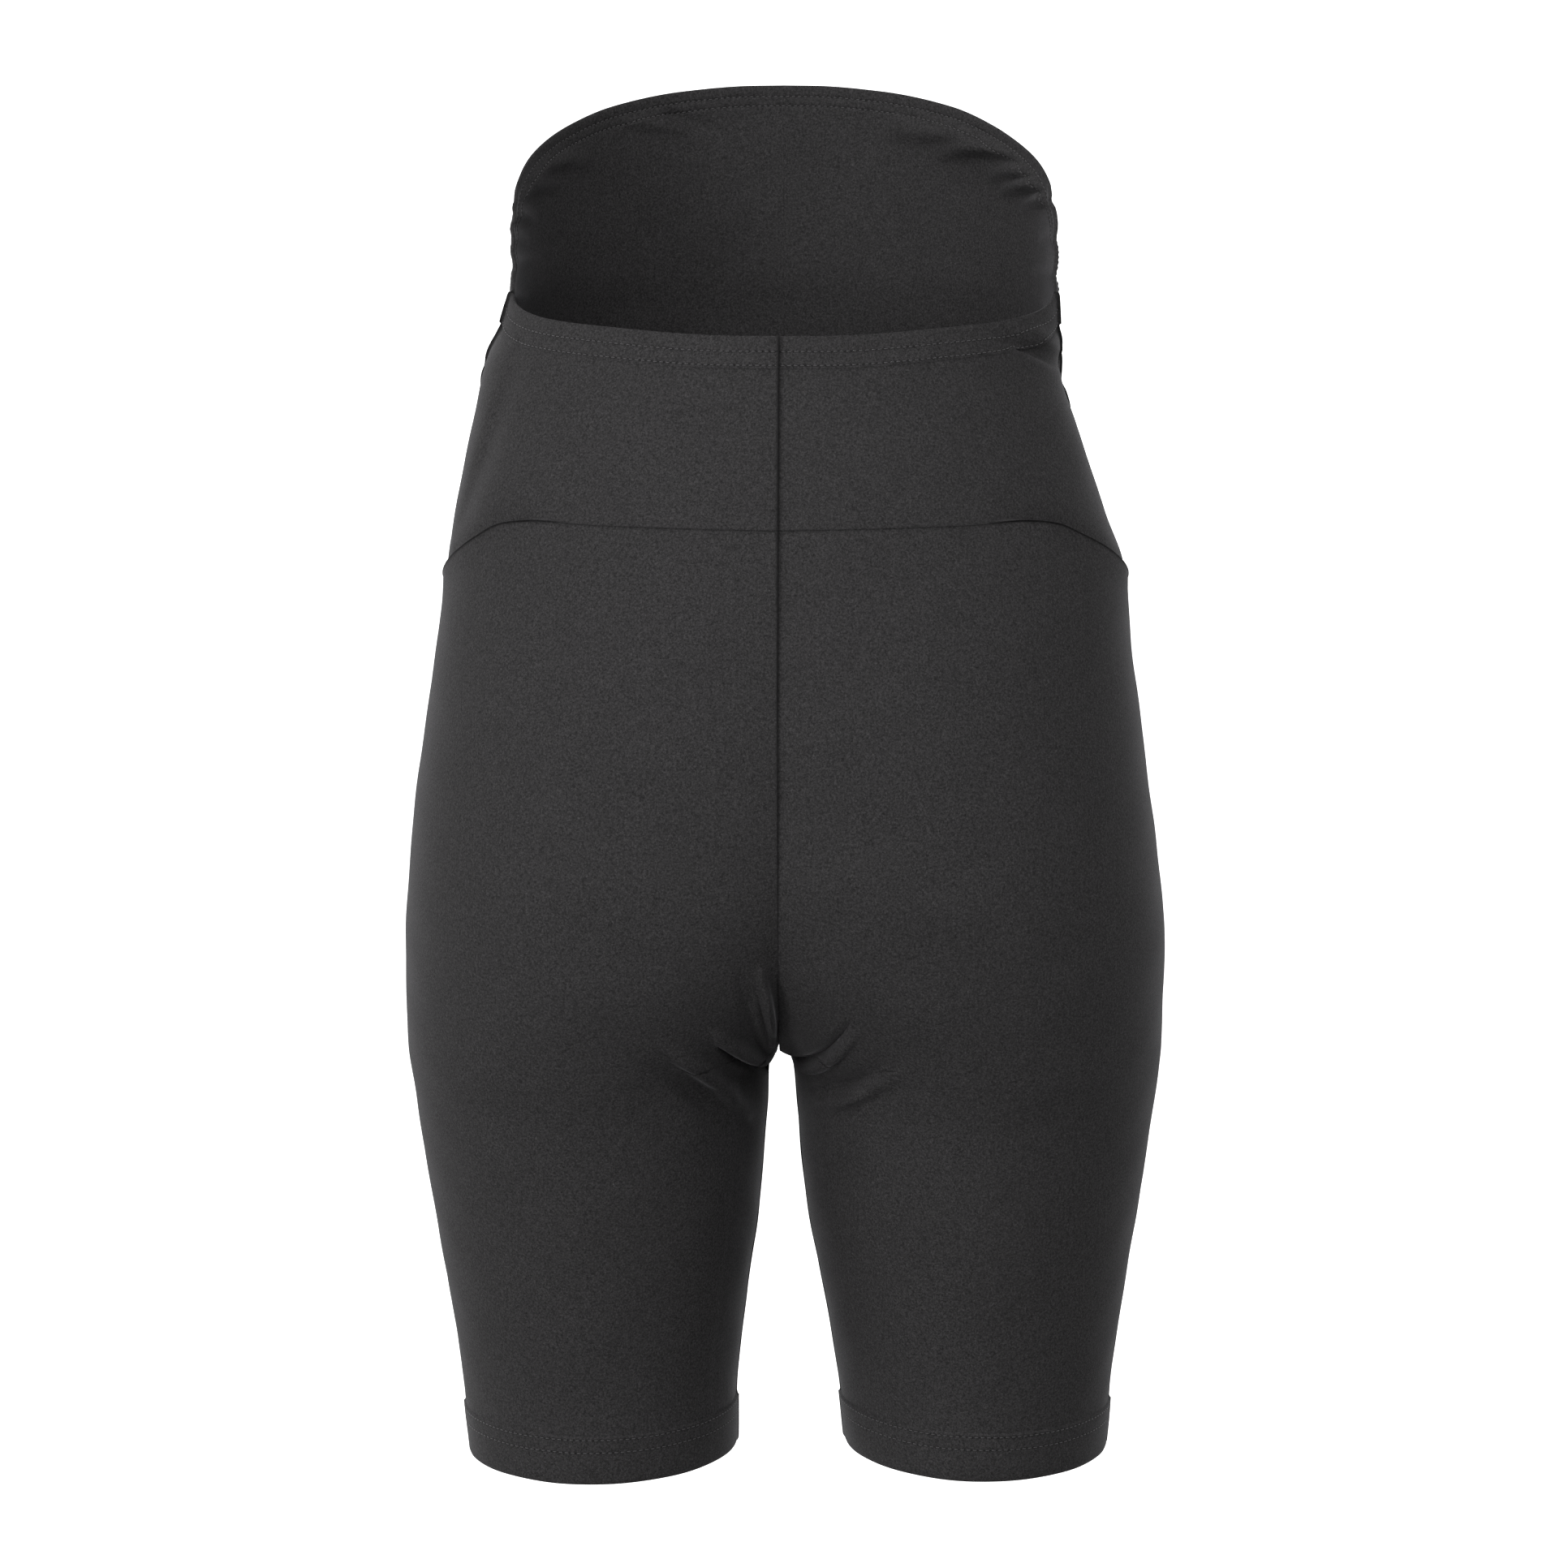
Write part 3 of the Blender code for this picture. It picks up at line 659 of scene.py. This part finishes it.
def stitch_shape():
    """One stitch lying along X, which dives into the cloth at each end, as points and faces."""
    points, faces = [], []
    for along, radius, rise in STITCH_RINGS:
        for number in range(STITCH_SIDES):
            turn = 2 * math.pi * number / STITCH_SIDES
            points.append((along * STITCH_LENGTH, radius * THREAD_RADIUS * math.cos(turn),
                           (radius * math.sin(turn) + rise) * THREAD_RADIUS))
    for first in range(0, len(points) - STITCH_SIDES, STITCH_SIDES):
        for number in range(STITCH_SIDES):
            here = first + number
            beside = first + (number + 1) % STITCH_SIDES
            faces.append((here, beside, beside + STITCH_SIDES, here + STITCH_SIDES))
    faces.append(tuple(reversed(range(STITCH_SIDES))))
    faces.append(tuple(range(len(points) - STITCH_SIDES, len(points))))
    return np.array(points), faces


def add_stitches(name, lines, length_scale=1.0):
    """One mesh of stitches along lines, each with points, normals, a pitch and whether they cross it."""
    shape, shape_faces = stitch_shape()
    points, faces = [], []
    for line, normals, pitch, crosswise in lines:
        run = run_lengths(line, 0)
        places = np.arange(pitch / 2, run[-1], pitch)
        spots = np.stack([np.interp(places, run, line[:, axis]) for axis in range(3)], axis=-1)
        ups = np.stack([np.interp(places, run, normals[:, axis]) for axis in range(3)], axis=-1)
        ahead = np.stack([np.interp(places + LOOK_AHEAD, run, line[:, axis]) for axis in range(3)], axis=-1)
        for spot, up, next_spot in zip(spots, ups, ahead):
            along = next_spot - spot
            along = along - up * np.dot(along, up)
            size = np.linalg.norm(along)
            if size < SHORTEST_STEP:
                continue
            along = along / size
            sideways = np.cross(up, along)
            if crosswise:
                along, sideways = sideways, -along
            offset = len(points) * len(shape)
            axes = np.stack((along * length_scale, sideways, up))
            points.append(spot + shape @ axes)
            faces += [tuple(offset + corner for corner in face) for face in shape_faces]
    mesh = bpy.data.meshes.new(name)
    mesh.from_pydata(np.concatenate(points).tolist(), [], faces)
    mesh.shade_smooth()
    piece = bpy.data.objects.new(name, mesh)
    bpy.context.scene.collection.objects.link(piece)
    return piece


def hem_line(surface, side, start, end, edge, depth, lift):
    """A stitch line at a depth from an edge, as points and normals, lifted off the surface."""
    around = np.linspace(start, end, LINE_POINTS)
    z = edge(side, around) + depth * (1.0 if edge is leg_edge else band_share(around))
    angle = around * centre_angle(side, z)
    normal = normal_at(side, angle, z, surface)
    return surface(side, angle, z) + normal * lift, normal


# How far the stitches outside and inside are lifted from the surface, and which way they face
STITCH_FACINGS = ((THREAD_RADIUS * 0.2 - STITCH_DENT, 1), (-HEM_SHELL - THREAD_RADIUS * 0.3, -1))


def make_waist_stitches():
    """Twin lines round the top, outside and inside."""
    seam_top = SIDE_SEAM["around"][0]
    lines = []
    for depth in WAIST_LINES:
        for lift, facing in STITCH_FACINGS:
            halves = [hem_line(BELLY_INSIDE, side, seam_top, -1.0, top_edge, -depth, lift + SHELL)
                      for side in SIDES]
            line, normals = [np.concatenate((left[:-1], right[::-1])) for left, right in zip(*halves)]
            lines.append((line, normals * facing, STITCH_PITCH, False))
            for side in SIDES:
                line, normals = hem_line(YOKE_SURFACE, side, seam_top, 1.0, top_edge, -depth, lift)
                lines.append((line, normals * facing, STITCH_PITCH, False))
    return add_stitches("waist_stitches", lines)


def make_leg_stitches(side):
    """Twin lines round one leg's hem, outside and inside."""
    lines = []
    for depth in LEG_LINES:
        for lift, facing in STITCH_FACINGS:
            for surface, end in ((LEG_BACK_SURFACE, 1.0), (LEG_FRONT_SURFACE, -1.0)):
                line, normals = hem_line(surface, side, 0.0, end, leg_edge, depth, lift)
                lines.append((line, normals * facing, STITCH_PITCH, False))
    return add_stitches(f"leg_stitches_{side}", lines)


def make_seam_stitches():
    """Thread that shows as small bars across the centre-back seam, where the cloth is stretched."""
    top = curve(WAIST_SEAM, "z", 1.0) * MM
    z = np.linspace(float(top), BAR_END, BAR_POINTS)
    angle = centre_angle("left", z)
    line = LEG_BACK_SURFACE("left", angle, z)
    line[:, 0] = 0.0
    normals = np.tile((0.0, 1.0, 0.0), (len(z), 1))
    line = line - normals * SEAM_FURROW * BAR_SINK
    return add_stitches("centre_back_stitches", [(line, normals, BAR_PITCH, True)], BAR_LENGTH_SHARE)


def node(tree, kind, **values):
    """A shader node with its attributes set."""
    made = tree.nodes.new(kind)
    for name, value in values.items():
        setattr(made, name, value)
    return made


def math_node(tree, operation, first, second=None, clamp=False):
    """A Math node whose inputs are links or numbers."""
    made = node(tree, "ShaderNodeMath", operation=operation, use_clamp=clamp)
    for socket, value in zip(made.inputs, (first, second)):
        if value is None:
            continue
        if isinstance(value, (int, float)):
            socket.default_value = value
        else:
            tree.links.new(value, socket)
    return made.outputs[0]


def multiply_add(tree, value, factor, offset):
    """A link's value, multiplied and then moved."""
    made = math_node(tree, "MULTIPLY_ADD", value, factor)
    made.node.inputs[2].default_value = offset
    return made


def noise(tree, place, scale, detail):
    """A noise texture's value, with features of about one over the scale in metres."""
    texture = node(tree, "ShaderNodeTexNoise")
    texture.inputs["Scale"].default_value = scale
    texture.inputs["Detail"].default_value = detail
    tree.links.new(place, texture.inputs["Vector"])
    return texture.outputs["Fac"]


def make_jersey(name, colour):
    """Matt stretch jersey: knit, grain and holes in the bump; grain and lint in the colour, with painted
    shade in the needle holes, along the stitch lines and in the seams.
    """
    material = bpy.data.materials.new(name)
    material.use_nodes = True
    tree = material.node_tree
    shader = tree.nodes["Principled BSDF"]
    shader.inputs["Roughness"].default_value = 0.82
    shader.inputs["Specular IOR Level"].default_value = 0.2
    shader.inputs["Sheen Weight"].default_value = 0.14
    shader.inputs["Sheen Roughness"].default_value = 0.3
    shader.inputs["Sheen Tint"].default_value = (0.75, 0.74, 0.78, 1.0)

    place = node(tree, "ShaderNodeTexCoord")
    split = node(tree, "ShaderNodeSeparateXYZ")
    tree.links.new(place.outputs["UV"], split.inputs[0])
    wale, course = 0.55 * MM, 0.42 * MM
    zigzag = math_node(tree, "PINGPONG", split.outputs["X"], wale / 2)
    slanted = math_node(tree, "ADD", split.outputs["Y"], math_node(tree, "MULTIPLY", zigzag, 0.9))
    wales = math_node(tree, "COSINE", math_node(tree, "MULTIPLY", split.outputs["X"], 2 * math.pi / wale))
    courses = math_node(tree, "SINE", math_node(tree, "MULTIPLY", slanted, 2 * math.pi / course))
    wales = math_node(tree, "MULTIPLY", wales, 0.5)
    courses = math_node(tree, "MULTIPLY", courses, 0.35)
    knit = math_node(tree, "ADD", wales, courses)

    grain = noise(tree, place.outputs["Object"], 1000.0, 2.0)
    fleck = noise(tree, place.outputs["Object"], 2000.0, 1.0)
    cloud = noise(tree, place.outputs["Object"], 38.0, 4.0)
    lint = noise(tree, place.outputs["Object"], 620.0, 1.0)

    beside = node(tree, "ShaderNodeUVMap", uv_map="stitching")
    along = node(tree, "ShaderNodeSeparateXYZ")
    tree.links.new(beside.outputs["UV"], along.inputs[0])
    from_hole = math_node(tree, "PINGPONG", along.outputs["X"], STITCH_PITCH / 2)
    near = [math_node(tree, "SUBTRACT", 1.0, math_node(tree, "DIVIDE", distance, NEEDLE_HOLE), clamp=True)
            for distance in (from_hole, along.outputs["Y"])]
    holes = math_node(tree, "MULTIPLY", *near)

    height = math_node(tree, "ADD", knit, math_node(tree, "MULTIPLY", grain, 1.8))
    height = math_node(tree, "SUBTRACT", height, math_node(tree, "MULTIPLY", holes, 4.0))
    bump = node(tree, "ShaderNodeBump")
    bump.inputs["Strength"].default_value = 0.25
    bump.inputs["Distance"].default_value = 0.12 * MM
    tree.links.new(height, bump.inputs["Height"])
    tree.links.new(bump.outputs["Normal"], shader.inputs["Normal"])

    shade = multiply_add(tree, grain, 2.3, -0.15)
    shade = math_node(tree, "MULTIPLY", shade, multiply_add(tree, fleck, 1.3, 0.35))
    shade = math_node(tree, "MULTIPLY", shade, multiply_add(tree, cloud, 0.16, 0.92))
    specks = math_node(tree, "MULTIPLY", math_node(tree, "SUBTRACT", lint, 0.70, clamp=True), 6.0)
    level = math_node(tree, "ADD", shade, specks)
    # painted shade multiplied into the colour: darker in the needle holes, in a band along each stitch line
    # and in the seams' grooves
    seam = node(tree, "ShaderNodeAttribute", attribute_name="seam").outputs["Fac"]
    for shadow, depth in ((holes, -0.7), (near[1], -0.45), (seam, -0.75)):
        level = math_node(tree, "MULTIPLY", level, multiply_add(tree, shadow, depth, 1.0))
    tint = node(tree, "ShaderNodeMix", data_type="RGBA", blend_type="MULTIPLY")
    tint.inputs["Factor"].default_value = 1.0
    tint.inputs["A"].default_value = colour
    tree.links.new(level, tint.inputs["B"])
    tree.links.new(tint.outputs["Result"], shader.inputs["Base Color"])
    return material


def make_thread(name, colour):
    """Spun thread, a little glossier than the jersey, with a fine twist."""
    material = bpy.data.materials.new(name)
    material.use_nodes = True
    tree = material.node_tree
    shader = tree.nodes["Principled BSDF"]
    shader.inputs["Roughness"].default_value = 0.55
    shader.inputs["Sheen Weight"].default_value = 0.2
    place = node(tree, "ShaderNodeTexCoord")
    twist = noise(tree, place.outputs["Object"], 2600.0, 2.0)
    bump = node(tree, "ShaderNodeBump")
    bump.inputs["Strength"].default_value = 0.4
    bump.inputs["Distance"].default_value = 0.06 * MM
    tree.links.new(twist, bump.inputs["Height"])
    tree.links.new(bump.outputs["Normal"], shader.inputs["Normal"])
    level = multiply_add(tree, twist, 0.6, 0.7)
    tint = node(tree, "ShaderNodeMix", data_type="RGBA", blend_type="MULTIPLY")
    tint.inputs["Factor"].default_value = 1.0
    tint.inputs["A"].default_value = colour
    tree.links.new(level, tint.inputs["B"])
    tree.links.new(tint.outputs["Result"], shader.inputs["Base Color"])
    return material


# Lights: where each lies about the shorts' middle, in degrees from straight behind towards the wearer's left
# and in degrees up, with its size in metres and its power in watts
LIGHT_TARGET = (0.0, 0.0, -0.2)
LIGHT_DISTANCE = 2.6
LIGHTS = {
    "fill": (0.0, 35.0, 1.3, 43.5),
    "key": (42.0, 5.0, 0.6, 19.0),
}
STUDIO_LIGHT = {            # the surroundings' light from each direction
    (1.0, 0.0, 0.0): 0.90,
    (-1.0, 0.0, 0.0): 0.42,
    (0.0, 1.0, 0.0): 0.15,
    (0.0, -1.0, 0.0): 0.85,
    (0.0, 0.0, 1.0): 0.05,
}

JERSEY = make_jersey("charcoal_jersey", (0.0248, 0.0237, 0.0245, 1.0))
THREAD = make_thread("grey_thread", (0.036, 0.034, 0.036, 1.0))


def finish_panel(piece, cad_node):
    """Give a shell its material, hang it from the root body and hide the solid that it stands for."""
    piece.data.materials.append(JERSEY)
    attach(piece, "root")
    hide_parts(cad_node)


def finish_thread(piece):
    piece.data.materials.append(THREAD)
    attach(piece, "root")


finish_panel(make_belly_panel(), "belly_panel")
for side_name in SIDES:
    finish_panel(make_yoke(side_name), f"yoke_back_{side_name}")
    for part_name in ("back", "front"):
        finish_panel(make_leg(side_name, part_name), f"leg_{part_name}_{side_name}")
finish_thread(make_waist_stitches())
finish_thread(make_seam_stitches())
for side_name in SIDES:
    finish_thread(make_leg_stitches(side_name))


FLOOR_REACH = 14.0
FLOOR_HEIGHT = -1.0


def make_stage():
    """Plain pale floor, as far below the waist as a wearer's feet."""
    mesh = bpy.data.meshes.new("floor")
    corners = [(x * FLOOR_REACH, y * FLOOR_REACH, 0) for x, y in ((-1, -1), (1, -1), (1, 1), (-1, 1))]
    mesh.from_pydata(corners, [], [(0, 1, 2, 3)])
    floor = bpy.data.objects.new("floor", mesh)
    floor.location.z = FLOOR_HEIGHT
    bpy.context.scene.collection.objects.link(floor)
    paint = bpy.data.materials.new("pale_floor")
    paint.use_nodes = True
    shader = paint.node_tree.nodes["Principled BSDF"]
    shader.inputs["Base Color"].default_value = (0.93, 0.93, 0.93, 1.0)
    shader.inputs["Roughness"].default_value = 0.9
    shader.inputs["Specular IOR Level"].default_value = 0.1
    shader.inputs["Emission Color"].default_value = (1.0, 1.0, 1.0, 1.0)
    shader.inputs["Emission Strength"].default_value = 1.0
    mesh.materials.append(paint)
    floor.visible_diffuse = False
    floor.visible_glossy = False


def make_light(name, place, target, size, power):
    """A soft square light at a place, facing a target."""
    data = bpy.data.lights.new(name, "AREA")
    data.shape = "SQUARE"
    data.size = size
    data.energy = power
    lamp = bpy.data.objects.new(name, data)
    lamp.location = place
    lamp.rotation_euler = aim(place, target)
    bpy.context.scene.collection.objects.link(lamp)


def aim(place, target):
    """Rotation that points an object's -Z from a place to a target."""
    return (Vector(target) - Vector(place)).to_track_quat("-Z", "Y").to_euler()


def make_world():
    """White studio: the camera sees plain white, and the light is strongest from the wearer's left."""
    world = bpy.data.worlds.new("white_studio")
    world.use_nodes = True
    tree = world.node_tree
    background = tree.nodes["Background"]
    background.inputs["Color"].default_value = (1.0, 1.0, 1.0, 1.0)
    coords = node(tree, "ShaderNodeTexCoord")
    total = node(tree, "ShaderNodeLightPath").outputs["Is Camera Ray"]
    for direction, light in STUDIO_LIGHT.items():
        facing = node(tree, "ShaderNodeVectorMath", operation="DOT_PRODUCT")
        tree.links.new(coords.outputs["Generated"], facing.inputs[0])
        facing.inputs[1].default_value = direction
        share = math_node(tree, "MULTIPLY", facing.outputs["Value"], 1.0, clamp=True)
        total = math_node(tree, "ADD", total, math_node(tree, "MULTIPLY", share, light))
    tree.links.new(total, background.inputs["Strength"])
    bpy.context.scene.world = world


def make_lights():
    """Both soft lights and the studio's own light, with plain tones."""
    for name, (azimuth, height, size, power) in LIGHTS.items():
        turn, rise = math.radians(azimuth), math.radians(height)
        toward = Vector((math.sin(turn) * math.cos(rise), math.cos(turn) * math.cos(rise), math.sin(rise)))
        make_light(name, Vector(LIGHT_TARGET) + toward * LIGHT_DISTANCE, LIGHT_TARGET, size, power)
    make_world()
    bpy.context.scene.view_settings.view_transform = "Standard"
    bpy.context.scene.view_settings.look = "None"


# Camera: behind the shorts at a slight turn, a little above the waist and looking slightly down
CAMERA_DISTANCE = 2.20
CAMERA_HEIGHT = 0.05
TARGET_HEIGHT = -0.2115
CAMERA_TURN = math.radians(0.66)
CAMERA_SIDE = -1.5 * MM
SENSOR = 36.0
LENS = 110.87


def make_camera():
    data = bpy.data.cameras.new("camera")
    data.sensor_width = SENSOR
    data.lens = LENS
    camera = bpy.data.objects.new("camera", data)
    target = (CAMERA_SIDE, 0.0, TARGET_HEIGHT)
    camera.location = (CAMERA_SIDE - CAMERA_DISTANCE * math.sin(CAMERA_TURN),
                       CAMERA_DISTANCE * math.cos(CAMERA_TURN), CAMERA_HEIGHT)
    camera.rotation_euler = aim(camera.location, target)
    bpy.context.scene.collection.objects.link(camera)
    bpy.context.scene.camera = camera


make_stage()
make_lights()
make_camera()
